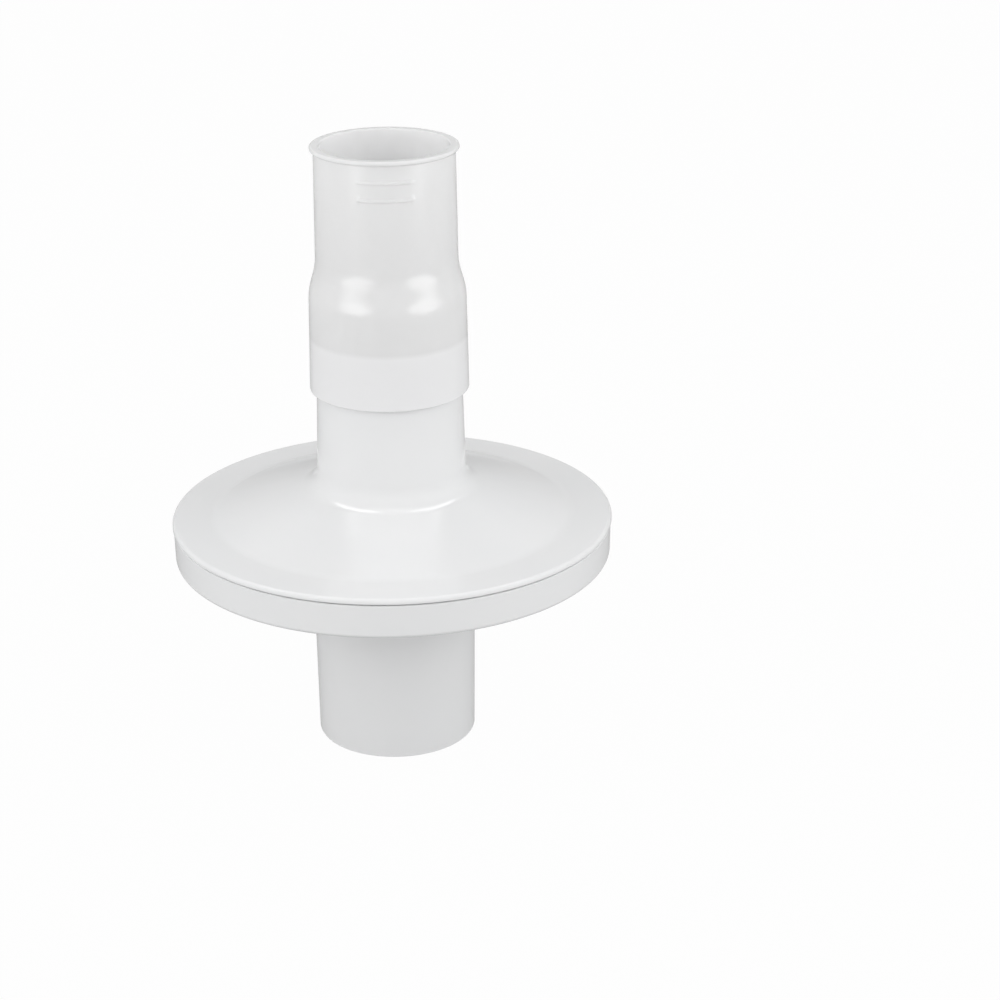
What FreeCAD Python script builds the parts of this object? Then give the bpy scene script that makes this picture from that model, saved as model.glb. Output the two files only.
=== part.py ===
import FreeCAD, Part
import math
import os

import Sketcher

# Spirometry filter: two welded shells that clamp a round filter pad, and a push-on mouthpiece.
# Millimetres. Every piece is turned about the vertical axis, and height 0 is the device port's open end.

# Driving dimensions: name, value and what it measures. Angles are in degrees.
SIZES = [
    ("DeviceBoreRadius", 15.0, "bore of the device port"),
    ("DevicePortWall", 1.6, "wall of the device port at its open end"),
    ("DevicePortDraft", 0.6, "draft of the device port's outside"),
    ("DevicePortLength", 36.6, "open end to the housing's underside"),
    ("HousingRadius", 45.4, "top of the device shell's side wall"),
    ("SideWallHeight", 6.9, "device shell's side wall"),
    ("SideWallDraft", 1.0, "draft of the side wall"),
    ("UndersideRise", 4.4, "rise of the dished underside from the port to the side wall"),
    ("ShellWall", 1.6, "floor and cover of the housing"),
    ("EdgeRound", 0.3, "rounding of free edges"),
    ("BaseRound", 0.9, "rounding at the foot of the side wall"),
    ("DeviceRootRound", 3.0, "rounding where the device port meets the underside"),
    ("PartingGap", 0.4, "shadow gap between the shells"),
    ("RimWall", 1.2, "side wall outside the weld tongue"),
    ("LedgeDepth", 3.9, "top of the side wall down to the ledge"),
    ("LedgeWidth", 1.6, "ledge under the edge of the pad"),
    ("GrooveWidth", 1.6, "weld groove between the ledge and the side wall"),
    ("GrooveDepth", 1.0, "ledge down to the floor of the weld groove"),
    ("TongueWidth", 1.2, "weld tongue"),
    ("TongueClearance", 0.05, "weld tongue to the side wall"),
    ("RimOverhang", 0.2, "patient shell's rim beyond the side wall"),
    ("RimHeight", 1.0, "rim's lower face up to the flat band"),
    ("RimRound", 0.8, "rounding of the rim"),
    ("CreaseRadius", 37.0, "inner edge of the flat band"),
    ("BandRise", 0.2, "rise of the flat band from the rim to the crease"),
    ("CoverAngle", 18.0, "slope of the conical cover"),
    ("PatientPortHeight", 39.7, "rim's lower face up to the port's open end"),
    ("PatientPortRadius", 14.6, "outside of the patient port at its open end"),
    ("PatientPortWall", 1.5, "wall of the patient port"),
    ("PatientPortTaper", 1.5, "taper of the patient port, for each side"),
    ("PatientRootRound", 5.0, "rounding where the patient port meets the cover"),
    ("InnerRootRound", 3.0, "rounding inside that corner"),
    ("PadThickness", 2.5, "filter pad"),
    ("PadEdgeThickness", 1.2, "pinched edge of the pad"),
    ("PadClearance", 0.1, "pad to the weld tongue's groove and to the clamp"),
    ("RibCount", 12, "radial ribs in each shell"),
    ("RibThickness", 1.2, "radial ribs"),
    ("RibGap", 3.0, "patient port's bore to the inner end of its ribs"),
    ("RibRoot", 0.5, "depth to which a rib is sunk into its wall"),
    ("SpokeCount", 6, "spokes across the device port's opening"),
    ("SpokeDepth", 2.4, "height of the spokes"),
    ("HubRadius", 4.2, "ring in the middle of the spokes"),
    ("HubWall", 1.2, "wall of that ring"),
    ("SeatOverlap", 11.3, "mouthpiece over the patient port"),
    ("SeatClearance", 0.06, "mouthpiece to the patient port"),
    ("SleeveWall", 1.3, "mouthpiece's sleeve at its open end"),
    ("SleeveLength", 20.7, "open end of the sleeve to the shoulder"),
    ("SleeveDraft", 1.0, "draft of the sleeve's outside"),
    ("ShoulderHeight", 5.3, "conical shoulder"),
    ("ShoulderRound", 12.0, "rounding between the sleeve and the shoulder"),
    ("ShoulderStep", 1.52, "outside of the sleeve at the shoulder to the outside of the tube"),
    ("NeckRound", 12.0, "rounding between the shoulder and the tube"),
    ("TubeWall", 1.1, "wall of the tube"),
    ("TubeDraft", 0.7, "draft of the tube"),
    ("TubeLength", 23.4, "shoulder to the lip"),
    ("LipHeight", 0.9, "lip"),
    ("LipProjection", 0.75, "lip beyond the tube"),
    ("LipRound", 0.4, "rounding of the lip"),
    ("BiteRibDrop", 4.4, "top of the lip down to the first bite rib"),
    ("BiteRibPitch", 3.5, "first bite rib to the second"),
    ("BiteRibWidth", 0.8, "bite rib at the tube"),
    ("BiteRibHeight", 0.25, "bite rib beyond the tube"),
    ("BiteRibAngle", 48.0, "arc that a bite rib covers"),
]
FULL_TURN = 360.0
BITE_RIB_SIDES = 2
FOUND_WITHIN = 1e-3

doc = FreeCAD.newDocument("SpirometryFilter")
sheet = doc.addObject("Spreadsheet::Sheet", "Sheet")


class Size:
    """A length, angle or ratio: its value, and the expression on the sheet's cells that gives it."""

    def __init__(self, value, text):
        self.value = value
        self.text = text

    def __add__(self, other):
        return Size(self.value + other.value, f"({self.text} + {other.text})")

    def __sub__(self, other):
        return Size(self.value - other.value, f"({self.text} - {other.text})")

    def __mul__(self, other):
        return Size(self.value * other.value, f"({self.text} * {other.text})")

    def __truediv__(self, other):
        return Size(self.value / other.value, f"({self.text} / {other.text})")


def slope(angle):
    """The rise over the run of a line that leans by this angle."""
    return Size(math.tan(math.radians(angle.value)), f"tan({angle.text})")


for row, (alias, number, meaning) in enumerate(SIZES, start=1):
    sheet.set(f"A{row}", meaning)
    sheet.set(f"B{row}", str(number))
    sheet.setAlias(f"B{row}", alias)
doc.recompute()
S = {alias: Size(float(number), f"Sheet.{alias}") for alias, number, meaning in SIZES}
NOTHING = Size(0.0, "0")
ONE = Size(1.0, "1")
TWO = Size(2.0, "2")

# Heights and radii that more than one piece uses
side_wall_foot = S["DevicePortLength"] + S["UndersideRise"]
side_wall_top = side_wall_foot + S["SideWallHeight"]
rim_face = side_wall_top + S["PartingGap"]
ledge = side_wall_top - S["LedgeDepth"]
groove_floor = ledge - S["GrooveDepth"]
groove_outer = S["HousingRadius"] - S["RimWall"]
groove_inner = groove_outer - S["GrooveWidth"]
ledge_inner = groove_inner - S["LedgeWidth"]
pad_top = ledge + S["PadThickness"]
pad_edge_top = ledge + S["PadEdgeThickness"]
patient_port_top = rim_face + S["PatientPortHeight"]
port_taper = slope(S["PatientPortTaper"])


def new_body(label):
    body = doc.addObject("PartDesign::Body", label)
    body.Label = label
    body.Placement = FreeCAD.Placement()
    return body


def origin_feature(body, role):
    return next(feature for feature in body.Origin.OriginFeatures if feature.Role == role)


def bind(target, name, size):
    """Ties a property or a constraint to the sheet."""
    target.setExpression(name, size.text)


def new_sketch(body, name, role):
    sketch = body.newObject("Sketcher::SketchObject", name)
    sketch.AttachmentSupport = [(origin_feature(body, role), "")]
    sketch.MapMode = "FlatFace"
    return sketch


def place_corner(sketch, line, across, up):
    """Ties the start of a line to a distance from the axis and a height."""
    for kind, axis, size in (("DistanceX", -2, across), ("DistanceY", -1, up)):
        if size is NOTHING:
            sketch.addConstraint(Sketcher.Constraint("PointOnObject", line, 1, axis))
        else:
            index = sketch.addConstraint(Sketcher.Constraint(kind, -1, 1, line, 1, size.value))
            bind(sketch, f"Constraints[{index}]", size)


def draw_outline(sketch, corners):
    """Closed outline of straight lines through corners, each a distance from the axis and a height."""
    first = sketch.GeometryCount
    points = [FreeCAD.Vector(across.value, up.value, 0) for across, up in corners]
    for start, end in zip(points, points[1:] + points[:1]):
        sketch.addGeometry(Part.LineSegment(start, end), False)
    for index, (across, up) in enumerate(corners):
        line = first + index
        follower = first + (index + 1) % len(corners)
        sketch.addConstraint(Sketcher.Constraint("Coincident", line, 2, follower, 1))
        place_corner(sketch, line, across, up)


def turned(body, name, corners, role="XZ_Plane", angle=None):
    """Solid turned about the body's vertical axis from one outline, or a part turn centred on its plane."""
    sketch = new_sketch(body, name + "Profile", role)
    draw_outline(sketch, corners)
    return revolve(body, name, sketch, angle)


def revolve(body, name, sketch, angle=None):
    feature = body.newObject("PartDesign::Revolution", name)
    feature.Profile = sketch
    feature.ReferenceAxis = (sketch, ["V_Axis"])
    feature.Angle = FULL_TURN
    if angle is not None:
        feature.Midplane = True
        bind(feature, "Angle", angle)
    sketch.Visibility = False
    doc.recompute()
    return feature


def rounded(body, name, rings, radius):
    """Rounds the circular edges of the body's tip that lie at the given radii and heights."""
    base = body.Tip
    found = []
    for ring_radius, ring_height in rings:
        for index, edge in enumerate(base.Shape.Edges, start=1):
            if not isinstance(edge.Curve, Part.Circle):
                continue
            off_radius = abs(edge.Curve.Radius - ring_radius.value)
            off_height = abs(edge.Curve.Center.z - ring_height.value)
            if off_radius < FOUND_WITHIN and off_height < FOUND_WITHIN:
                found.append(f"Edge{index}")
    if len(found) < len(rings):
        raise RuntimeError(f"{name}: {len(rings)} rings asked for, edges found: {found}")
    feature = body.newObject("PartDesign::Fillet", name)
    feature.Base = (base, found)
    bind(feature, "Radius", radius)
    doc.recompute()
    return feature


def padded_rib(body, name, corners, thickness):
    """Flat rib in the plane through the axis, as thick to one side as to the other."""
    sketch = new_sketch(body, name + "Profile", "XZ_Plane")
    draw_outline(sketch, corners)
    feature = body.newObject("PartDesign::Pad", name)
    feature.Profile = sketch
    feature.Midplane = True
    bind(feature, "Length", thickness)
    sketch.Visibility = False
    doc.recompute()
    return feature


def repeated(body, name, original, count):
    """Copies of a feature spread evenly about the vertical axis. The count is a size or a whole number."""
    feature = body.newObject("PartDesign::PolarPattern", name)
    feature.Originals = [original]
    feature.Axis = (origin_feature(body, "Z_Axis"), [""])
    feature.Angle = FULL_TURN
    if isinstance(count, Size):
        bind(feature, "Occurrences", count)
    else:
        feature.Occurrences = count
    body.Tip = feature
    doc.recompute()
    return feature


def device_shell():
    """Lower moulding: device port, dished floor, side wall, ledge, weld groove, ribs and spokes."""
    body = new_body("device_shell")
    bore = S["DeviceBoreRadius"]
    port_end = bore + S["DevicePortWall"]
    port_root = port_end + S["DevicePortLength"] * slope(S["DevicePortDraft"])
    wall_foot = S["HousingRadius"] - S["SideWallHeight"] * slope(S["SideWallDraft"])
    floor_slope = S["UndersideRise"] / (wall_foot - port_root)
    floor_start = S["DevicePortLength"] + S["ShellWall"]

    def floor(radius):
        return floor_start + (radius - bore) * floor_slope

    turned(body, "Shell", [
        (bore, NOTHING),
        (port_end, NOTHING),
        (port_root, S["DevicePortLength"]),
        (wall_foot, side_wall_foot),
        (S["HousingRadius"], side_wall_top),
        (groove_outer, side_wall_top),
        (groove_outer, groove_floor),
        (groove_inner, groove_floor),
        (groove_inner, ledge),
        (ledge_inner, ledge),
        (ledge_inner, floor(ledge_inner)),
        (bore, floor_start),
    ])
    rounded(body, "PortRoot", [(port_root, S["DevicePortLength"])], S["DeviceRootRound"])
    rounded(body, "WallFoot", [(wall_foot, side_wall_foot)], S["BaseRound"])
    free_edges = [
        (bore, NOTHING),
        (port_end, NOTHING),
        (bore, floor_start),
        (S["HousingRadius"], side_wall_top),
        (groove_outer, side_wall_top),
    ]
    rounded(body, "FreeEdges", free_edges, S["EdgeRound"])

    rib_outer = ledge_inner + S["RibRoot"]
    rib_inner = bore + S["RibThickness"]
    rib = padded_rib(body, "Rib", [
        (rib_inner, ledge),
        (rib_outer, ledge),
        (rib_outer, floor(rib_outer) - S["RibRoot"]),
        (rib_inner, floor(rib_inner) - S["RibRoot"]),
    ], S["RibThickness"])
    repeated(body, "Ribs", rib, S["RibCount"])

    spoke_outer = rib_inner + S["RibThickness"]
    spoke_inner = S["HubRadius"] - S["HubWall"] / TWO
    spoke = padded_rib(body, "Spoke", [
        (spoke_inner, ledge),
        (spoke_outer, ledge),
        (spoke_outer, ledge - S["SpokeDepth"]),
        (spoke_inner, ledge - S["SpokeDepth"]),
    ], S["RibThickness"])
    repeated(body, "Spokes", spoke, S["SpokeCount"])
    turned(body, "Hub", [
        (S["HubRadius"] - S["HubWall"], ledge - S["SpokeDepth"]),
        (S["HubRadius"], ledge - S["SpokeDepth"]),
        (S["HubRadius"], ledge),
        (S["HubRadius"] - S["HubWall"], ledge),
    ])
    return body


def patient_shell():
    """Upper moulding: patient port, conical cover, flat band, rim, weld tongue, clamp and ribs."""
    body = new_body("patient_shell")
    rim = S["HousingRadius"] + S["RimOverhang"]
    rim_top = rim_face + S["RimHeight"]
    crease_height = rim_top + S["BandRise"]
    cover_slope = slope(S["CoverAngle"])
    tongue_outer = groove_outer - S["TongueClearance"]
    tongue_inner = tongue_outer - S["TongueWidth"]
    port_inner = S["PatientPortRadius"] - S["PatientPortWall"]
    band_underside = rim_top - S["ShellWall"]
    crease_underside = crease_height - S["ShellWall"]

    def port_meets_cover(end_radius, cover_height):
        """Radius at which the port's tapering wall runs into the cover that passes the crease at this height."""
        drop = patient_port_top - cover_height - S["CreaseRadius"] * cover_slope
        return (end_radius + drop * port_taper) / (ONE - cover_slope * port_taper)

    def cover(radius, cover_height):
        return cover_height + (S["CreaseRadius"] - radius) * cover_slope

    root = port_meets_cover(S["PatientPortRadius"], crease_height)
    inner_root = port_meets_cover(port_inner, crease_underside)
    turned(body, "Shell", [
        (port_inner, patient_port_top),
        (inner_root, cover(inner_root, crease_underside)),
        (S["CreaseRadius"], crease_underside),
        (ledge_inner, band_underside),
        (ledge_inner, pad_edge_top),
        (tongue_inner, pad_edge_top),
        (tongue_inner, groove_floor),
        (tongue_outer, groove_floor),
        (tongue_outer, rim_face),
        (rim, rim_face),
        (rim, rim_top),
        (S["CreaseRadius"], crease_height),
        (root, cover(root, crease_height)),
        (S["PatientPortRadius"], patient_port_top),
    ])
    rounded(body, "PortRoot", [(root, cover(root, crease_height))], S["PatientRootRound"])
    inner_corner = (inner_root, cover(inner_root, crease_underside))
    rounded(body, "InnerRoot", [inner_corner], S["InnerRootRound"])
    rounded(body, "Rim", [(rim, rim_top)], S["RimRound"])
    port_edges = [(S["PatientPortRadius"], patient_port_top), (port_inner, patient_port_top)]
    rounded(body, "PortEnd", port_edges, S["EdgeRound"])

    rib_inner = inner_root + S["RibGap"]
    rib_outer = ledge_inner + S["RibRoot"]
    rib = padded_rib(body, "Rib", [
        (rib_inner, pad_top),
        (rib_outer, pad_top),
        (rib_outer, band_underside + S["RibRoot"]),
        (S["CreaseRadius"], crease_underside + S["RibRoot"]),
        (rib_inner, cover(rib_inner, crease_underside) + S["RibRoot"]),
    ], S["RibThickness"])
    repeated(body, "Ribs", rib, S["RibCount"])
    return body


def filter_media():
    """Round pad of non-woven, full in the middle and pinched where the shells clamp it."""
    body = new_body("filter_media")
    pad_radius = groove_inner - S["PadClearance"]
    pinch = ledge_inner - S["PadClearance"]
    full = pinch - (S["PadThickness"] - S["PadEdgeThickness"])
    turned(body, "Pad", [
        (NOTHING, ledge),
        (pad_radius, ledge),
        (pad_radius, pad_edge_top),
        (pinch, pad_edge_top),
        (full, pad_top),
        (NOTHING, pad_top),
    ])
    return body


def mouthpiece():
    """Push-on mouthpiece: sleeve with a taper that fits the patient port, shoulder, tube, lip, bite ribs."""
    body = new_body("mouthpiece")
    mouth = patient_port_top - S["SeatOverlap"]
    shoulder = mouth + S["SleeveLength"]
    tube_foot = shoulder + S["ShoulderHeight"]
    lip_foot = tube_foot + S["TubeLength"]
    top = lip_foot + S["LipHeight"]
    seat = S["PatientPortRadius"] + S["SeatOverlap"] * port_taper + S["SeatClearance"]
    seat_end = seat - S["SleeveLength"] * port_taper
    sleeve = seat + S["SleeveWall"]
    sleeve_end = sleeve - S["SleeveLength"] * slope(S["SleeveDraft"])
    tube_start = sleeve_end - S["ShoulderStep"]

    def tube(height):
        """Outer radius of the drafted tube at this height."""
        return tube_start - (height - tube_foot) * slope(S["TubeDraft"])

    tube_end = tube(lip_foot)
    tube_inside = tube_start - S["TubeWall"]
    lip = tube_end + S["LipProjection"]
    turned(body, "Wall", [
        (seat, mouth),
        (sleeve, mouth),
        (sleeve_end, shoulder),
        (tube_start, tube_foot),
        (tube_end, lip_foot),
        (lip, lip_foot),
        (lip, top),
        (tube(top) - S["TubeWall"], top),
        (tube_inside, tube_foot),
        (seat_end, shoulder),
    ])
    rounded(body, "Shoulder", [(sleeve_end, shoulder), (seat_end, shoulder)], S["ShoulderRound"])
    rounded(body, "Neck", [(tube_start, tube_foot), (tube_inside, tube_foot)], S["NeckRound"])
    rounded(body, "Lip", [(lip, lip_foot), (lip, top)], S["LipRound"])
    rounded(body, "SleeveEnd", [(sleeve, mouth), (seat, mouth)], S["EdgeRound"])

    sketch = new_sketch(body, "BiteRibProfile", "YZ_Plane")
    half_width = S["BiteRibWidth"] / TWO
    first = top - S["BiteRibDrop"]
    for middle in (first, first - S["BiteRibPitch"]):
        sunk = tube(middle) - S["TubeWall"] / TWO
        draw_outline(sketch, [
            (sunk, middle - half_width),
            (tube(middle - half_width), middle - half_width),
            (tube(middle) + S["BiteRibHeight"], middle),
            (tube(middle + half_width), middle + half_width),
            (sunk, middle + half_width),
        ])
    ribs = revolve(body, "BiteRibs", sketch, S["BiteRibAngle"])
    repeated(body, "BiteRibSides", ribs, BITE_RIB_SIDES)
    return body


def check(bodies):
    """Stops if a feature failed or a piece is not one valid solid."""
    doc.recompute()
    for item in doc.Objects:
        if "Invalid" in item.State or "Error" in item.State:
            raise RuntimeError(f"{item.Name} failed: {item.State}")
    for body in bodies:
        shape = body.Shape
        if shape.isNull() or not shape.isValid() or len(shape.Solids) != 1:
            raise RuntimeError(f"{body.Label} is not one valid solid")
        box = shape.BoundBox
        print(f"{body.Label}: volume {shape.Volume:.1f}, height {box.ZMin:.2f} to {box.ZMax:.2f}")


def main():
    bodies = [device_shell(), patient_shell(), filter_media(), mouthpiece()]
    check(bodies)
    os.makedirs("parts", exist_ok=True)
    for body in bodies:
        body.Shape.exportStep(f"parts/{body.Label}.step")


main()
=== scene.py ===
"""Spirometry filter with its push-on mouthpiece, standing in a small white product studio.

The two welded shells, the filter pad and the mouthpiece are turned from their profiles around
the fixed frame, dressed as moulded ABS, electret non-woven and milky polypropylene, and lit by
soft boxes.
"""

import logging
import math
from abc import ABC, abstractmethod
from collections.abc import Mapping, Sequence
from dataclasses import dataclass
from enum import Enum

import bmesh
import bpy
from bmesh.types import BMesh, BMVert
from bpy.types import Collection, Material, Node, NodeSocket, NodeTree, Object
from mathutils import Matrix, Vector

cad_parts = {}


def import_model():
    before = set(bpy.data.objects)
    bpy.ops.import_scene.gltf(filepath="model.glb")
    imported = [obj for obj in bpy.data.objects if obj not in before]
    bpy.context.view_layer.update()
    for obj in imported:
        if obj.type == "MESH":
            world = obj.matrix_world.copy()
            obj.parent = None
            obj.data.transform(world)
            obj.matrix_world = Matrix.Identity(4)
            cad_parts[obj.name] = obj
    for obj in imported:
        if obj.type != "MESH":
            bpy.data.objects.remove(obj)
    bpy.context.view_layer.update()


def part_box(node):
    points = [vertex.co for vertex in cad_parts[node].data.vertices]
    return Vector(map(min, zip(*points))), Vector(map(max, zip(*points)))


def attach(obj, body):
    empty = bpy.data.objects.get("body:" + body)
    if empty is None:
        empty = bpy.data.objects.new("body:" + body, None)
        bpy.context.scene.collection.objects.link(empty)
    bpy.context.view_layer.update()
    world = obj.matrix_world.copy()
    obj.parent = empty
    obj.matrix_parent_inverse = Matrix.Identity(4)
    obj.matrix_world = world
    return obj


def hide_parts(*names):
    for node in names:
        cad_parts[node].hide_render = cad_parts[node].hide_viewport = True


LOG = logging.getLogger("spirometry_filter")

MM = 0.001
ORIGIN = (0.0, 0.0, 0.0)
UP = (0.0, 0.0, 1.0)
WHITE = (1.0, 1.0, 1.0, 1.0)

# How fine the skins are: faces round a turn and along an arc, and along a straight run.
TURN_STEPS = 256
ARC_STEP = math.radians(6.0)
FEWEST_ARC_STEPS = 3
RUN_PITCH_MM = 3.0
SAME_PLACE_MM = 0.001
SHARP_FROM = math.radians(30.0)


class Body(Enum):
    """The bodies of the frame that pieces ride on."""

    FILTER = "filter"
    MOUTHPIECE = "mouthpiece"


class Slot(Enum):
    """The record's material slots."""

    HOUSING = "housing_white"
    MEDIA = "media_white"
    MOUTHPIECE = "mouthpiece_milky"


@dataclass(frozen=True)
class Corner:
    """A corner of a profile in the plane through the axis, in millimetres.

    Args:
        across: distance from the axis.
        up: height above the device port's open end.
        rounding: radius of the arc that rounds the corner, or 0 where it is sharp.
    """

    across: float
    up: float
    rounding: float = 0.0

    @property
    def place(self) -> Vector:
        """The corner in the frame, in metres."""
        return Vector((self.across, 0.0, self.up)) * MM


@dataclass(frozen=True)
class Extent:
    """Outer radius, foot and top of a node of the frame, in millimetres."""

    radius: float
    foot: float
    top: float

    @classmethod
    def of(cls, node: str) -> "Extent":
        """Measures a node of the frame."""
        low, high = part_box(node)
        radius = max(abs(side) for side in (low[0], low[1], high[0], high[1]))
        return cls(radius / MM, low[2] / MM, high[2] / MM)


def eased(share: float) -> float:
    """Keeps a share between 0 and 1, and lets it leave the one and reach the other softly."""
    share = min(max(share, 0.0), 1.0)
    return share * share * (3.0 - 2.0 * share)


def slope(angle: float) -> float:
    """Rise for each unit of run of a face that leans by this many degrees."""
    return math.tan(math.radians(angle))


def trace(shape: BMesh, corners: Sequence[Corner], closed: bool) -> None:
    """Draws a profile as straight runs joined by tangent arcs.

    Args:
        shape: the mesh that gets the profile's vertices and edges.
        corners: the profile's corners in order.
        closed: whether the last corner joins the first, or both lie on the axis.
    """
    first = pen = None
    count = len(corners)
    for index, corner in enumerate(corners):
        arriving = (corner.place - corners[index - 1].place).normalized()
        leaving = (corners[(index + 1) % count].place - corner.place).normalized()
        turn = arriving.angle(leaving) if corner.rounding else 0.0
        setback = arriving * corner.rounding * MM * math.tan(turn / 2)
        start = shape.verts.new(corner.place - setback)
        if pen is None:
            first = start
        else:
            shape.edges.new((pen, start))
        pen = start
        if corner.rounding:
            axis = arriving.cross(leaving).normalized()
            centre = start.co + axis.cross(arriving) * corner.rounding * MM
            arc = bmesh.ops.spin(
                shape, geom=[start], cent=centre, axis=axis, angle=turn,
                steps=max(FEWEST_ARC_STEPS, math.ceil(turn / ARC_STEP)),
            )
            pen = next(item for item in arc["geom_last"] if isinstance(item, BMVert))
    if closed:
        shape.edges.new((pen, first))


def turned(corners: Sequence[Corner], closed: bool = True) -> BMesh:
    """Turns a profile about the upright axis into a closed skin of even faces.

    Args:
        corners: the profile's corners in order.
        closed: whether the profile is a loop, or runs from the axis to the axis.

    Returns:
        The new mesh, its faces pointing outwards.
    """
    shape = bmesh.new()
    trace(shape, corners, closed)
    for run in list(shape.edges):
        cuts = int(run.calc_length() / (RUN_PITCH_MM * MM))
        if cuts:
            bmesh.ops.subdivide_edges(shape, edges=[run], cuts=cuts)
    profile = shape.verts[:] + shape.edges[:]
    bmesh.ops.spin(
        shape, geom=profile, cent=ORIGIN, axis=UP,
        angle=math.tau, steps=TURN_STEPS, use_merge=True,
    )
    bmesh.ops.remove_doubles(shape, verts=shape.verts, dist=SAME_PLACE_MM * MM)
    bmesh.ops.recalc_face_normals(shape, faces=shape.faces)
    return shape


def ribs(outline: Sequence[Corner], thickness: float, count: int) -> BMesh:
    """Makes flat ribs that stand in planes through the axis.

    Args:
        outline: one rib's outline.
        thickness: the rib's thickness in millimetres.
        count: how many ribs are spread about the axis.

    Returns:
        A mesh with one closed slab for each rib.
    """
    shape = bmesh.new()
    side = Vector((0.0, -thickness / 2, 0.0)) * MM
    face = shape.faces.new([shape.verts.new(corner.place + side) for corner in outline])
    grown = bmesh.ops.extrude_face_region(shape, geom=[face])["geom"]
    far_side = [item for item in grown if isinstance(item, BMVert)]
    bmesh.ops.translate(shape, vec=-2 * side, verts=far_side)
    bmesh.ops.recalc_face_normals(shape, faces=shape.faces)
    slab = shape.verts[:] + shape.edges[:] + shape.faces[:]
    bmesh.ops.spin(
        shape, geom=slab, cent=ORIGIN, axis=UP,
        angle=math.tau * (count - 1) / count, steps=count - 1, use_duplicate=True,
    )
    return shape


def piece_from(shape: BMesh, name: str) -> Object:
    """Makes an object from a mesh, smooth but for its sharp edges, and frees the mesh."""
    mesh = bpy.data.meshes.new(name)
    shape.to_mesh(mesh)
    shape.free()
    mesh.shade_smooth()
    mesh.set_sharp_from_angle(angle=SHARP_FROM)
    piece = bpy.data.objects.new(name, mesh)
    bpy.context.scene.collection.objects.link(piece)
    return piece


def unite(piece: Object, additions: Sequence[BMesh]) -> None:
    """Joins closed meshes to a piece as one skin.

    Args:
        piece: the object that grows.
        additions: meshes that reach into the piece. They are used up.
    """
    for number, addition in enumerate(additions):
        tool = piece_from(addition, f"{piece.name}_addition_{number}")
        union = piece.modifiers.new("union", "BOOLEAN")
        union.operation = "UNION"
        union.solver = "EXACT"
        union.object = tool
        graph = bpy.context.evaluated_depsgraph_get()
        joined = bpy.data.meshes.new_from_object(piece.evaluated_get(graph))
        piece.modifiers.clear()
        before = piece.data
        piece.data = joined
        bpy.data.meshes.remove(before)
        joined.name = piece.name
        bpy.data.objects.remove(tool)
    piece.data.shade_smooth()
    piece.data.set_sharp_from_angle(angle=SHARP_FROM)


def dress(piece: Object, material: Material) -> None:
    """Gives a piece its material, and keeps its flats flat beside their rounded edges."""
    piece.data.materials.append(material)
    modifier = piece.modifiers.new("weighted_normals", "WEIGHTED_NORMAL")
    modifier.keep_sharp = True


def linear(colour: str) -> tuple[float, float, float, float]:
    """Turns an sRGB hex colour to linear values, by the curve of the sRGB standard."""
    channels = [int(colour[start:start + 2], 16) / 255 for start in (1, 3, 5)]
    red, green, blue = (
        channel / 12.92 if channel <= 0.04045 else ((channel + 0.055) / 1.055) ** 2.4
        for channel in channels
    )
    return red, green, blue, 1.0


def add_node(
    tree: NodeTree,
    kind: str,
    values: Mapping[str | int, object] | None = None,
    **settings: object,
) -> Node:
    """Adds a node with its settings, its constants and its links.

    Args:
        tree: the node tree that gets the node.
        kind: the node's type name.
        values: a constant, or another node's output to link, for each input by name or number.
        **settings: the node's own properties.

    Returns:
        The new node.
    """
    node = tree.nodes.new(kind)
    for name, setting in settings.items():
        setattr(node, name, setting)
    for name, value in (values or {}).items():
        if isinstance(value, NodeSocket):
            tree.links.new(value, node.inputs[name])
        else:
            node.inputs[name].default_value = value
    return node


@dataclass(frozen=True)
class Pattern:
    """A noise pattern with its real size.

    Args:
        period_mm: about how far apart its features repeat, in millimetres.
        detail: how many finer layers lie over it.
        roughness: how strong the finer layers are.
        distortion: how much it is tangled.
    """

    period_mm: float
    detail: float
    roughness: float = 0.5
    distortion: float = 0.0

    def inputs(self, place: NodeSocket) -> dict[str, object]:
        """The inputs of a noise texture that draws the pattern at these coordinates."""
        return {
            "Vector": place,
            "Scale": 1.0 / (self.period_mm * MM),
            "Detail": self.detail,
            "Roughness": self.roughness,
            "Distortion": self.distortion,
        }


@dataclass(frozen=True)
class Finish(ABC):
    """A material that is built from nodes."""

    name: str

    @abstractmethod
    def surface(self, tree: NodeTree) -> NodeSocket:
        """Adds the finish's nodes.

        Args:
            tree: the material's node tree.

        Returns:
            The output of the shader that makes the surface.
        """

    def material(self) -> Material:
        """Builds the material."""
        material = bpy.data.materials.new(self.name)
        material.use_nodes = True
        tree = material.node_tree
        tree.nodes.clear()
        add_node(tree, "ShaderNodeOutputMaterial", {"Surface": self.surface(tree)})
        return material


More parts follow.
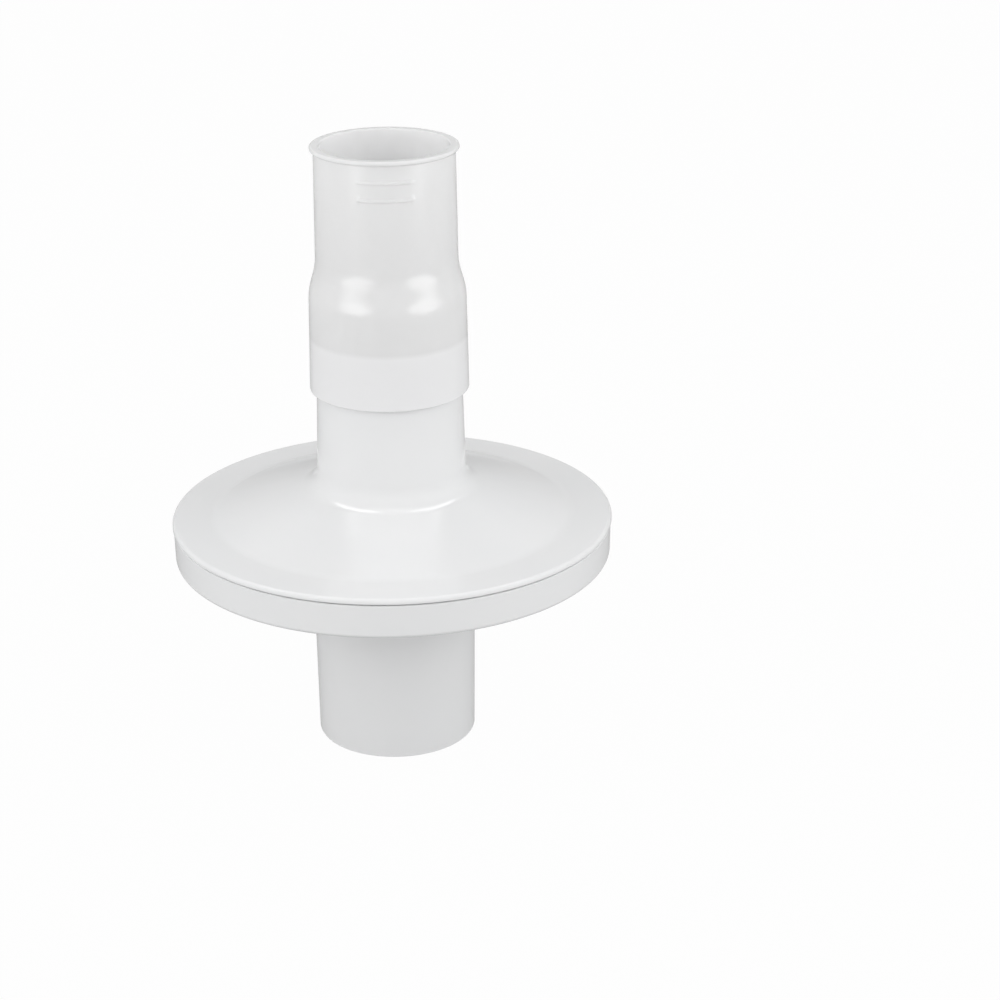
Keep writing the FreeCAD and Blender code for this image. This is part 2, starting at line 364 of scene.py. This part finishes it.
@dataclass(frozen=True)
class MouldedPlastic(Finish):
    """What every plastic from a polished mould has.

    Its tone drifts a little where the melt flowed, its polish varies from place to place, and
    the skin that cooled over the flowing melt has a faint ripple that bends the highlights.
    """

    pale: str
    deep: str
    roughness_low: float
    roughness_high: float
    ior: float
    flow: Pattern
    polish: Pattern
    ripple: Pattern
    ripple_depth_mm: float = 0.002

    def skin(self, tree: NodeTree, place: NodeSocket) -> dict[str, object]:
        """Adds the nodes of the tone, the polish and the ripple.

        Args:
            tree: the material's node tree.
            place: the coordinates that the patterns follow.

        Returns:
            The shader's inputs for the skin.
        """
        flow = add_node(tree, "ShaderNodeTexNoise", self.flow.inputs(place))
        tone = add_node(tree, "ShaderNodeMix", {
            "Factor": flow.outputs["Fac"],
            "A": linear(self.pale),
            "B": linear(self.deep),
        }, data_type="RGBA")
        polish = add_node(tree, "ShaderNodeTexNoise", self.polish.inputs(place))
        gloss = add_node(tree, "ShaderNodeMapRange", {
            "Value": polish.outputs["Fac"],
            "To Min": self.roughness_low,
            "To Max": self.roughness_high,
        })
        ripple = add_node(tree, "ShaderNodeTexNoise", self.ripple.inputs(place))
        bump = add_node(tree, "ShaderNodeBump", {
            "Height": ripple.outputs["Fac"],
            "Distance": self.ripple_depth_mm * MM,
        })
        return {
            "Base Color": tone.outputs["Result"],
            "Roughness": gloss.outputs["Result"],
            "IOR": self.ior,
            "Normal": bump.outputs["Normal"],
        }


@dataclass(frozen=True)
class MouldedAbs(MouldedPlastic):
    """Glossy moulded ABS: the eye gets an even, clean white with crisp highlights."""

    name: str = "moulded_abs_gloss"
    pale: str = "#EDEDED"
    deep: str = "#E9EAEB"
    roughness_low: float = 0.11
    roughness_high: float = 0.16
    ior: float = 1.54
    flow: Pattern = Pattern(period_mm=22.0, detail=3.0)
    polish: Pattern = Pattern(period_mm=6.0, detail=2.0)
    ripple: Pattern = Pattern(period_mm=3.5, detail=1.0, roughness=0.4)

    def surface(self, tree: NodeTree) -> NodeSocket:
        """Adds the finish's nodes and gives the output of its shader."""
        place = add_node(tree, "ShaderNodeTexCoord").outputs["Object"]
        shader = add_node(tree, "ShaderNodeBsdfPrincipled", self.skin(tree, place))
        return shader.outputs["BSDF"]


@dataclass(frozen=True)
class MilkyPolypropylene(MouldedPlastic):
    """Moulded polypropylene, thin enough to let light through.

    The eye gets a slightly grey white with soft bright spots. Light spreads inside the wall and
    leaves it on both sides. Below a set height the sleeve is painted paler, with more cover and
    less scatter there. This painted lightening stands in for the white patient port showing
    through the wall, and it stays fixed to the mouthpiece wherever the port is.
    """

    name: str = "milky_polypropylene"
    pale: str = "#FAFAFB"
    deep: str = "#F6F6F7"
    roughness_low: float = 0.13
    roughness_high: float = 0.17
    ior: float = 1.49
    flow: Pattern = Pattern(period_mm=12.0, detail=3.0)
    polish: Pattern = Pattern(period_mm=2.8, detail=1.5)
    ripple: Pattern = Pattern(period_mm=2.8, detail=1.5)
    cover: float = 0.78
    # The cover and scatter used below a set height, and that height and the softness of its edge,
    # paint a paler band on the sleeve in place of the port seen through the wall.
    painted_pale_cover: float = 0.87
    scatter: float = 1.0
    painted_pale_scatter: float = 0.2
    painted_pale_below_mm: float = 88.0
    painted_pale_edge_mm: float = 0.5
    scatter_mm: float = 1.3

    def surface(self, tree: NodeTree) -> NodeSocket:
        """Adds the finish's nodes and gives the output of its shader."""
        place = add_node(tree, "ShaderNodeTexCoord").outputs["Object"]
        height = add_node(tree, "ShaderNodeSeparateXYZ", {"Vector": place}).outputs["Z"]
        # Below the set height the sleeve is painted paler, with more cover and less scatter. This
        # stands in for the port showing through the wall.
        scatter, cover = (
            add_node(tree, "ShaderNodeMapRange", {
                "Value": height,
                "From Min": (self.painted_pale_below_mm - self.painted_pale_edge_mm) * MM,
                "From Max": (self.painted_pale_below_mm + self.painted_pale_edge_mm) * MM,
                "To Min": painted_pale_value,
                "To Max": free,
            }).outputs["Result"]
            for painted_pale_value, free in (
                (self.painted_pale_scatter, self.scatter),
                (self.painted_pale_cover, self.cover),
            )
        )
        shader = add_node(tree, "ShaderNodeBsdfPrincipled", self.skin(tree, place) | {
            "Alpha": cover,
            "Subsurface Weight": scatter,
            "Subsurface Radius": (1.0, 1.0, 1.0),
            "Subsurface Scale": self.scatter_mm * MM,
        })
        return shader.outputs["BSDF"]


@dataclass(frozen=True)
class ElectretNonWoven(Finish):
    """Carded electret fibres, pressed to a soft felt.

    The eye gets a matt, warm white with a fine tangle of fibres and slow hills where the web is
    thicker. Real fibres are finer than a hair, so they are drawn about four times as coarse.
    """

    name: str = "electret_non_woven"
    pale: str = "#F1F1EC"
    deep: str = "#DEDED6"
    roughness: float = 0.9
    sheen: float = 0.3
    sheen_roughness: float = 0.5
    fibres: Pattern = Pattern(period_mm=0.18, detail=4.0, roughness=0.65, distortion=3.0)
    fibre_depth_mm: float = 0.05
    hills: Pattern = Pattern(period_mm=3.0, detail=2.0)
    hill_depth_mm: float = 0.2

    def surface(self, tree: NodeTree) -> NodeSocket:
        """Adds the finish's nodes and gives the output of its shader."""
        place = add_node(tree, "ShaderNodeTexCoord").outputs["Object"]
        fibres = add_node(tree, "ShaderNodeTexNoise", self.fibres.inputs(place))
        hills = add_node(tree, "ShaderNodeTexNoise", self.hills.inputs(place))
        tone = add_node(tree, "ShaderNodeMix", {
            "Factor": fibres.outputs["Fac"],
            "A": linear(self.deep),
            "B": linear(self.pale),
        }, data_type="RGBA")
        web = add_node(tree, "ShaderNodeBump", {
            "Height": hills.outputs["Fac"],
            "Distance": self.hill_depth_mm * MM,
        })
        felt = add_node(tree, "ShaderNodeBump", {
            "Height": fibres.outputs["Fac"],
            "Distance": self.fibre_depth_mm * MM,
            "Normal": web.outputs["Normal"],
        })
        shader = add_node(tree, "ShaderNodeBsdfPrincipled", {
            "Base Color": tone.outputs["Result"],
            "Roughness": self.roughness,
            "Normal": felt.outputs["Normal"],
            "Sheen Weight": self.sheen,
            "Sheen Roughness": self.sheen_roughness,
        })
        return shader.outputs["BSDF"]


def seen_directly(tree: NodeTree) -> NodeSocket:
    """Adds nodes that give 1 to what camera, gloss and clear parts see, and 0 to other light."""
    rays = add_node(tree, "ShaderNodeLightPath").outputs
    shown = rays["Is Camera Ray"]
    for kind in ("Is Glossy Ray", "Is Transmission Ray"):
        shown = add_node(tree, "ShaderNodeMath", {
            0: shown,
            1: rays[kind],
        }, operation="ADD", use_clamp=True).outputs["Value"]
    return shown


@dataclass(frozen=True)
class StudioWhite(Finish):
    """Pale card that keeps the object's shadow: camera, gloss and clear parts see it as white."""

    name: str = "studio_white"
    card: str = "#C0C0C0"
    glow_share: float = 0.975

    def surface(self, tree: NodeTree) -> NodeSocket:
        """Adds the finish's nodes and gives the output of its shader."""
        card = add_node(tree, "ShaderNodeBsdfDiffuse", {"Color": linear(self.card)})
        glow = add_node(tree, "ShaderNodeEmission", {"Color": WHITE, "Strength": 1.0})
        share = add_node(tree, "ShaderNodeMath", {
            0: seen_directly(tree),
            1: self.glow_share,
        }, operation="MULTIPLY")
        mixed = add_node(tree, "ShaderNodeMixShader", {
            "Fac": share.outputs["Value"],
            1: card.outputs["BSDF"],
            2: glow.outputs["Emission"],
        })
        return mixed.outputs["Shader"]


@dataclass(frozen=True)
class GreyCard(Finish):
    """Card that only reflections see: pale low down, so that edges stand out, and dark overhead.

    Its tone fades between two heights, in metres.
    """

    name: str = "grey_card"
    low: str = "#B1B1B1"
    overhead: str = "#303030"
    fade_from: float = 1.1
    fade_to: float = 1.5

    def surface(self, tree: NodeTree) -> NodeSocket:
        """Adds the finish's nodes and gives the output of its shader."""
        place = add_node(tree, "ShaderNodeTexCoord").outputs["Object"]
        fade = add_node(tree, "ShaderNodeMapRange", {
            "Value": add_node(tree, "ShaderNodeSeparateXYZ", {"Vector": place}).outputs["Z"],
            "From Min": self.fade_from,
            "From Max": self.fade_to,
        })
        tone = add_node(tree, "ShaderNodeMix", {
            "Factor": fade.outputs["Result"],
            "A": linear(self.low),
            "B": linear(self.overhead),
        }, data_type="RGBA")
        glow = add_node(tree, "ShaderNodeEmission", {
            "Color": tone.outputs["Result"],
            "Strength": 1.0,
        })
        return glow.outputs["Emission"]


@dataclass
class FilterHousing:
    """The two welded shells: device port and dished floor below, cover and patient port above.

    Lengths are in millimetres, and drafts, tapers and angles in degrees.
    """

    bore: float = 15.0
    port_wall: float = 1.6
    port_draft: float = 0.6
    port_length: float = 36.6
    shell_wall: float = 1.6
    underside_rise: float = 4.4
    side_wall_height: float = 6.9
    side_wall_draft: float = 1.0
    edge_round: float = 0.3
    base_round: float = 0.9
    device_root_round: float = 3.0
    rim_overhang: float = 0.2
    rim_wall: float = 1.2
    rim_height: float = 1.0
    rim_round: float = 0.8
    parting_gap: float = 0.4
    ledge_depth: float = 3.9
    ledge_width: float = 1.6
    groove_width: float = 1.6
    groove_depth: float = 1.0
    tongue_width: float = 1.2
    tongue_clearance: float = 0.05
    crease_radius: float = 37.0
    crease_round: float = 7.0
    band_rise: float = 0.2
    cover_angle: float = 18.0
    patient_port_radius: float = 14.6
    patient_port_wall: float = 1.5
    patient_port_taper: float = 1.5
    patient_root_round: float = 5.0
    inner_root_round: float = 3.0
    pad_thickness: float = 2.5
    pad_edge_thickness: float = 1.2
    rib_count: int = 12
    rib_thickness: float = 1.2
    rib_gap: float = 3.0
    rib_root: float = 0.5
    spoke_count: int = 6
    spoke_depth: float = 2.4
    hub_radius: float = 4.2
    hub_wall: float = 1.2

    def __post_init__(self) -> None:
        """Works out the heights and radii that both shells share from the frame."""
        patient = Extent.of("patient_shell")
        self.radius = patient.radius - self.rim_overhang
        self.patient_port_top = patient.top
        self.side_wall_foot = self.port_length + self.underside_rise
        self.side_wall_top = self.side_wall_foot + self.side_wall_height
        self.rim_face = self.side_wall_top + self.parting_gap
        self.rim_top = self.rim_face + self.rim_height
        self.ledge = self.side_wall_top - self.ledge_depth
        self.groove_floor = self.ledge - self.groove_depth
        self.groove_outer = self.radius - self.rim_wall
        self.groove_inner = self.groove_outer - self.groove_width
        self.ledge_inner = self.groove_inner - self.ledge_width

    def device_shell(self) -> Object:
        """Models the lower moulding with its port, dished floor, side wall, ribs and spokes."""
        port_end = self.bore + self.port_wall
        port_root = port_end + self.port_length * slope(self.port_draft)
        wall_foot = self.radius - self.side_wall_height * slope(self.side_wall_draft)
        floor_slope = self.underside_rise / (wall_foot - port_root)
        floor_start = self.port_length + self.shell_wall

        def floor(radius: float) -> float:
            """Height of the floor's upper face."""
            return floor_start + (radius - self.bore) * floor_slope

        shape = turned([
            Corner(self.bore, 0.0, self.edge_round),
            Corner(port_end, 0.0, self.edge_round),
            Corner(port_root, self.port_length, self.device_root_round),
            Corner(wall_foot, self.side_wall_foot, self.base_round),
            Corner(self.radius, self.side_wall_top, self.edge_round),
            Corner(self.groove_outer, self.side_wall_top, self.edge_round),
            Corner(self.groove_outer, self.groove_floor),
            Corner(self.groove_inner, self.groove_floor),
            Corner(self.groove_inner, self.ledge),
            Corner(self.ledge_inner, self.ledge),
            Corner(self.ledge_inner, floor(self.ledge_inner)),
            Corner(self.bore, floor_start, self.edge_round),
        ])
        shell = piece_from(shape, "device_shell_moulding")
        rib_inner = self.bore + self.rib_thickness
        rib_outer = self.ledge_inner + self.rib_root
        floor_ribs = ribs([
            Corner(rib_inner, self.ledge),
            Corner(rib_outer, self.ledge),
            Corner(rib_outer, floor(rib_outer) - self.rib_root),
            Corner(rib_inner, floor(rib_inner) - self.rib_root),
        ], self.rib_thickness, self.rib_count)
        spoke_foot = self.ledge - self.spoke_depth
        spokes = ribs([
            Corner(self.hub_radius - self.hub_wall / 2, self.ledge),
            Corner(rib_inner + self.rib_thickness, self.ledge),
            Corner(rib_inner + self.rib_thickness, spoke_foot),
            Corner(self.hub_radius - self.hub_wall / 2, spoke_foot),
        ], self.rib_thickness, self.spoke_count)
        hub = turned([
            Corner(self.hub_radius - self.hub_wall, spoke_foot),
            Corner(self.hub_radius, spoke_foot),
            Corner(self.hub_radius, self.ledge),
            Corner(self.hub_radius - self.hub_wall, self.ledge),
        ])
        unite(shell, [floor_ribs, spokes, hub])
        return shell

    def patient_shell(self) -> Object:
        """Models the upper moulding with its port, cone, flat band, rim, tongue and ribs."""
        rim = self.radius + self.rim_overhang
        crease_height = self.rim_top + self.band_rise
        cover_slope = slope(self.cover_angle)
        port_taper = slope(self.patient_port_taper)
        tongue_outer = self.groove_outer - self.tongue_clearance
        tongue_inner = tongue_outer - self.tongue_width
        port_inner = self.patient_port_radius - self.patient_port_wall
        band_underside = self.rim_top - self.shell_wall
        crease_underside = crease_height - self.shell_wall
        pad_edge_top = self.ledge + self.pad_edge_thickness

        def cover(radius: float, height_at_crease: float) -> float:
            """Height of the cover's outer or inner face."""
            return height_at_crease + (self.crease_radius - radius) * cover_slope

        def port_root(end_radius: float, height_at_crease: float) -> float:
            """Radius at which the tapering port runs into the cover."""
            drop = self.patient_port_top - cover(0.0, height_at_crease)
            return (end_radius + drop * port_taper) / (1.0 - cover_slope * port_taper)

        root = port_root(self.patient_port_radius, crease_height)
        inner_root = port_root(port_inner, crease_underside)
        shape = turned([
            Corner(port_inner, self.patient_port_top, self.edge_round),
            Corner(inner_root, cover(inner_root, crease_underside), self.inner_root_round),
            Corner(self.crease_radius, crease_underside),
            Corner(self.ledge_inner, band_underside),
            Corner(self.ledge_inner, pad_edge_top),
            Corner(tongue_inner, pad_edge_top),
            Corner(tongue_inner, self.groove_floor),
            Corner(tongue_outer, self.groove_floor),
            Corner(tongue_outer, self.rim_face),
            Corner(rim, self.rim_face),
            Corner(rim, self.rim_top, self.rim_round),
            Corner(self.crease_radius, crease_height, self.crease_round),
            Corner(root, cover(root, crease_height), self.patient_root_round),
            Corner(self.patient_port_radius, self.patient_port_top, self.edge_round),
        ])
        shell = piece_from(shape, "patient_shell_moulding")
        rib_inner = inner_root + self.rib_gap
        rib_outer = self.ledge_inner + self.rib_root
        pad_top = self.ledge + self.pad_thickness
        unite(shell, [ribs([
            Corner(rib_inner, pad_top),
            Corner(rib_outer, pad_top),
            Corner(rib_outer, band_underside + self.rib_root),
            Corner(self.crease_radius, crease_underside + self.rib_root),
            Corner(rib_inner, cover(rib_inner, crease_underside) + self.rib_root),
        ], self.rib_thickness, self.rib_count)])
        return shell

    def build(self) -> list[tuple[Object, str]]:
        """Models both shells and gives each with the node that it stands for."""
        finish = MouldedAbs().material()
        shells = [(self.device_shell(), "device_shell"), (self.patient_shell(), "patient_shell")]
        for shell, _ in shells:
            dress(shell, finish)
        return shells


@dataclass
class FilterPad:
    """The round pad of non-woven, full in the middle and pinched where the shells clamp it.

    Lengths are in millimetres.
    """

    edge_thickness: float = 1.2
    pinch_width: float = 1.6
    pinch_round: float = 0.8

    def build(self) -> list[tuple[Object, str]]:
        """Models the pad and gives it with the node that it stands for."""
        pad = Extent.of("filter_media")
        pinch = pad.radius - self.pinch_width
        edge_top = pad.foot + self.edge_thickness
        full = pinch - (pad.top - edge_top)
        shape = turned([
            Corner(0.0, pad.foot),
            Corner(pad.radius, pad.foot),
            Corner(pad.radius, edge_top),
            Corner(pinch, edge_top, self.pinch_round),
            Corner(full, pad.top, self.pinch_round),
            Corner(0.0, pad.top),
        ], closed=False)
        piece = piece_from(shape, "filter_pad")
        dress(piece, ElectretNonWoven().material())
        return [(piece, "filter_media")]


@dataclass
class Mouthpiece:
    """The push-on mouthpiece: sleeve, shoulder, tube, lip and two pairs of bite ribs.

    Lengths are in millimetres, and drafts, tapers and arcs in degrees.
    """

    port_taper: float = 1.5
    sleeve_wall: float = 1.3
    sleeve_length: float = 20.7
    sleeve_draft: float = 1.0
    edge_round: float = 0.3
    shoulder_step: float = 1.52
    shoulder_height: float = 5.3
    shoulder_round: float = 12.0
    neck_round: float = 12.0
    tube_wall: float = 1.1
    tube_draft: float = 0.7
    tube_length: float = 23.4
    lip_projection: float = 0.75
    lip_round: float = 0.4
    ribs_each_side: int = 2
    rib_drop: float = 4.4
    rib_pitch: float = 3.5
    rib_width: float = 0.8
    rib_height: float = 0.25
    rib_arc: float = 48.0
    rib_fade: float = 5.0
    rib_loops: int = 8

    def __post_init__(self) -> None:
        """Works out the mouthpiece's heights from the frame."""
        whole = Extent.of("mouthpiece")
        self.mouth = whole.foot
        self.top = whole.top
        self.sleeve = whole.radius
        self.shoulder = self.mouth + self.sleeve_length
        self.tube_foot = self.shoulder + self.shoulder_height
        self.lip_foot = self.tube_foot + self.tube_length

    def tube(self, height: float) -> float:
        """Outer radius of the drafted tube at this height."""
        return self.tube_start() - (height - self.tube_foot) * slope(self.tube_draft)

    def tube_start(self) -> float:
        """Outer radius of the tube where the shoulder ends."""
        return self.sleeve_end() - self.shoulder_step

    def sleeve_end(self) -> float:
        """Outer radius of the sleeve where the shoulder starts."""
        return self.sleeve - self.sleeve_length * slope(self.sleeve_draft)

    def raise_ribs(self, shape: BMesh) -> None:
        """Swells the front and back of the tube's outside into bite ribs that fade at their ends.

        Args:
            shape: the mouthpiece's skin.
        """
        half_arc = math.radians(self.rib_arc / 2)
        fade = math.radians(self.rib_fade)
        for number in range(self.ribs_each_side):
            middle = self.top - self.rib_drop - number * self.rib_pitch
            for loop in range(self.rib_loops + 1):
                height = middle + self.rib_width * (loop / self.rib_loops - 0.5)
                bmesh.ops.bisect_plane(
                    shape, geom=shape.verts[:] + shape.edges[:] + shape.faces[:],
                    dist=SAME_PLACE_MM * MM, plane_co=(0.0, 0.0, height * MM), plane_no=UP,
                )
            mid_wall = (self.tube(middle) - self.tube_wall / 2) * MM
            for vertex in shape.verts:
                off = (vertex.co.z / MM - middle) / self.rib_width
                radius = vertex.co.xy.length
                if abs(off) >= 0.5 or radius < mid_wall:
                    continue
                bearing = math.atan2(abs(vertex.co.x), abs(vertex.co.y))
                share = eased((half_arc - bearing) / fade)
                swell = self.rib_height * math.cos(math.pi * off) * share
                vertex.co.xy *= 1 + swell * MM / radius

    def build(self) -> list[tuple[Object, str]]:
        """Models the mouthpiece and gives it with the node that it stands for."""
        seat = self.sleeve - self.sleeve_wall
        seat_end = seat - self.sleeve_length * slope(self.port_taper)
        tube_end = self.tube(self.lip_foot)
        lip = tube_end + self.lip_projection
        shape = turned([
            Corner(seat, self.mouth, self.edge_round),
            Corner(self.sleeve, self.mouth, self.edge_round),
            Corner(self.sleeve_end(), self.shoulder, self.shoulder_round),
            Corner(self.tube_start(), self.tube_foot, self.neck_round),
            Corner(tube_end, self.lip_foot, self.edge_round),
            Corner(lip, self.lip_foot, self.lip_round),
            Corner(lip, self.top, self.lip_round),
            Corner(self.tube(self.top) - self.tube_wall, self.top, self.edge_round),
            Corner(self.tube_start() - self.tube_wall, self.tube_foot, self.neck_round),
            Corner(seat_end, self.shoulder, self.shoulder_round),
        ])
        self.raise_ribs(shape)
        piece = piece_from(shape, "mouthpiece_moulding")
        dress(piece, MilkyPolypropylene().material())
        return [(piece, "mouthpiece")]


@dataclass(frozen=True)
class SoftBox:
    """A lamp that faces the object, and either lights it or shows in the gloss of one finish.

    Args:
        name: the lamp's name.
        azimuth: degrees round the object, 0 in front of it and 90 to its right.
        elevation: degrees above the place that it faces.
        distance: metres from that place.
        width: metres across.
        height: metres up.
        brightness: about what the lamp's face shows, where 1 is white.
        aim: height on the object's axis that it faces, in metres.
        shines_on: the finish whose gloss alone shows it, or None where it lights everything.
    """

    name: str
    azimuth: float
    elevation: float
    distance: float
    width: float
    height: float
    brightness: float
    aim: float
    shines_on: Slot | None = None

    def place(self, dressed: Mapping[Slot, Collection]) -> None:
        """Hangs the lamp in the studio.

        Args:
            dressed: the pieces of each slot.
        """
        light = bpy.data.lights.new(self.name, "AREA")
        gloss_only = self.shines_on is not None
        light.shape = "ELLIPSE" if gloss_only else "RECTANGLE"
        light.size = self.width
        light.size_y = self.height
        light.energy = self.brightness * math.pi * self.width * self.height
        lamp = bpy.data.objects.new(self.name, light)
        azimuth, elevation = math.radians(self.azimuth), math.radians(self.elevation)
        away = Vector((
            math.sin(azimuth) * math.cos(elevation),
            -math.cos(azimuth) * math.cos(elevation),
            math.sin(elevation),
        ))
        lamp.location = Vector((0.0, 0.0, self.aim)) + away * self.distance
        lamp.rotation_euler = away.to_track_quat("Z", "Y").to_euler()
        lamp.visible_glossy = gloss_only
        lamp.visible_diffuse = not gloss_only
        if gloss_only:
            lamp.light_linking.receiver_collection = dressed[self.shines_on]
        bpy.context.scene.collection.objects.link(lamp)


@dataclass
class Studio:
    """Floor, surroundings, lamps and camera.

    Lengths are in metres and angles in degrees, but for the sensor, in millimetres, and the
    focal length, in picture points. The camera's values were fitted to the photographed rings.
    """

    floor_width: float = 4.0
    ambient: float = 0.78
    cove_radius: float = 1.2
    cove_height: float = 3.4
    cove_lift: float = 0.0005
    cove_steps: int = 96
    focal_px: float = 2438.9
    image_px: float = 1000.0
    sensor_mm: float = 36.0
    yaw: float = 2.722
    pitch: float = 22.054
    roll: float = 0.332
    stand_off: float = 0.4710
    eye_height: float = 0.24195
    # The side lamps round the form and the front lamp lifts it. The spots are the bright marks on
    # the mouthpiece's shoulder, and the root shines those where the patient port meets the cover.
    lamps: tuple[SoftBox, ...] = (
        SoftBox("side_left", -70.0, 20.0, 0.60, 0.48, 0.24, 2.4, 0.05),
        SoftBox("side_right", 70.0, 20.0, 0.60, 0.48, 0.24, 2.4, 0.05),
        SoftBox("front_key", 0.0, 32.0, 0.90, 0.80, 0.55, 0.80, 0.055),
        SoftBox("spots_left", -48.0, 0.3, 0.50, 0.48, 0.19, 3.1, 0.10, Slot.MOUTHPIECE),
        SoftBox("spots_right", 54.0, 0.3, 0.50, 0.48, 0.19, 3.1, 0.10, Slot.MOUTHPIECE),
        SoftBox("root_shine_left", -107.0, 64.0, 0.80, 0.23, 0.56, 2.8, 0.055, Slot.HOUSING),
        SoftBox("root_shine_right", 119.0, 64.0, 0.80, 0.22, 0.56, 2.7, 0.055, Slot.HOUSING),
    )

    def floor(self) -> None:
        """Lays the pale floor that the filter stands on."""
        shape = bmesh.new()
        bmesh.ops.create_grid(shape, x_segments=1, y_segments=1, size=self.floor_width / 2)
        floor = piece_from(shape, "studio_floor")
        floor.data.materials.append(StudioWhite().material())

    def cove(self) -> None:
        """Stands the grey card round the object as a tall open drum that only reflections see."""
        shape = bmesh.new()
        bmesh.ops.create_cone(
            shape, cap_ends=True, segments=self.cove_steps,
            radius1=self.cove_radius, radius2=self.cove_radius, depth=self.cove_height,
        )
        lift = Vector(UP) * (self.cove_height / 2 + self.cove_lift)
        bmesh.ops.translate(shape, vec=lift, verts=shape.verts)
        lid = max(shape.faces, key=lambda face: face.calc_center_median().z)
        bmesh.ops.delete(shape, geom=[lid], context="FACES_ONLY")
        cove = piece_from(shape, "studio_cove")
        cove.data.materials.append(GreyCard().material())
        cove.visible_camera = False
        cove.visible_diffuse = False
        cove.visible_transmission = False
        cove.visible_shadow = False

    def surroundings(self) -> None:
        """Fills the room with even light, and with white where it is seen."""
        world = bpy.data.worlds.new("studio_room")
        world.use_nodes = True
        tree = world.node_tree
        tree.nodes.clear()
        room = add_node(tree, "ShaderNodeBackground", {"Color": WHITE, "Strength": self.ambient})
        white = add_node(tree, "ShaderNodeBackground", {"Color": WHITE, "Strength": 1.0})
        mixed = add_node(tree, "ShaderNodeMixShader", {
            "Fac": seen_directly(tree),
            1: room.outputs["Background"],
            2: white.outputs["Background"],
        })
        add_node(tree, "ShaderNodeOutputWorld", {"Surface": mixed.outputs["Shader"]})
        bpy.context.scene.world = world

    def camera(self) -> None:
        """Sets the camera where the photograph was taken from."""
        data = bpy.data.cameras.new("photo_camera")
        data.sensor_fit = "HORIZONTAL"
        data.sensor_width = self.sensor_mm
        data.lens = self.focal_px / self.image_px * self.sensor_mm
        camera = bpy.data.objects.new("photo_camera", data)
        camera.matrix_world = (
            Matrix.Translation((0.0, -self.stand_off, self.eye_height))
            @ Matrix.Rotation(math.radians(-self.yaw), 4, "Z")
            @ Matrix.Rotation(math.radians(90.0 - self.pitch), 4, "X")
            @ Matrix.Rotation(math.radians(-self.roll), 4, "Z")
        )
        bpy.context.scene.collection.objects.link(camera)
        bpy.context.scene.camera = camera

    def build(self, dressed: Mapping[Slot, Collection]) -> None:
        """Sets up the whole studio.

        Args:
            dressed: the pieces of each slot, for lamps that shine on one finish.
        """
        bpy.context.scene.view_settings.view_transform = "Standard"
        self.floor()
        self.cove()
        self.surroundings()
        for lamp in self.lamps:
            lamp.place(dressed)
        self.camera()


def main() -> None:
    """Builds the filter around the frame, then the studio, and logs each piece's faces and body.
    """
    logging.basicConfig(level=logging.INFO, format="%(message)s")
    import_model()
    dressed = {slot: bpy.data.collections.new(slot.value) for slot in Slot}
    for assembly, body, slot in (
        (FilterHousing(), Body.FILTER, Slot.HOUSING),
        (FilterPad(), Body.FILTER, Slot.MEDIA),
        (Mouthpiece(), Body.MOUTHPIECE, Slot.MOUTHPIECE),
    ):
        for piece, node in assembly.build():
            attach(piece, body.value)
            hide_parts(node)
            dressed[slot].objects.link(piece)
            LOG.info("%s: %d faces, rides on %s", piece.name, len(piece.data.polygons), body.value)
    Studio().build(dressed)


if __name__ == "__main__":
    main()
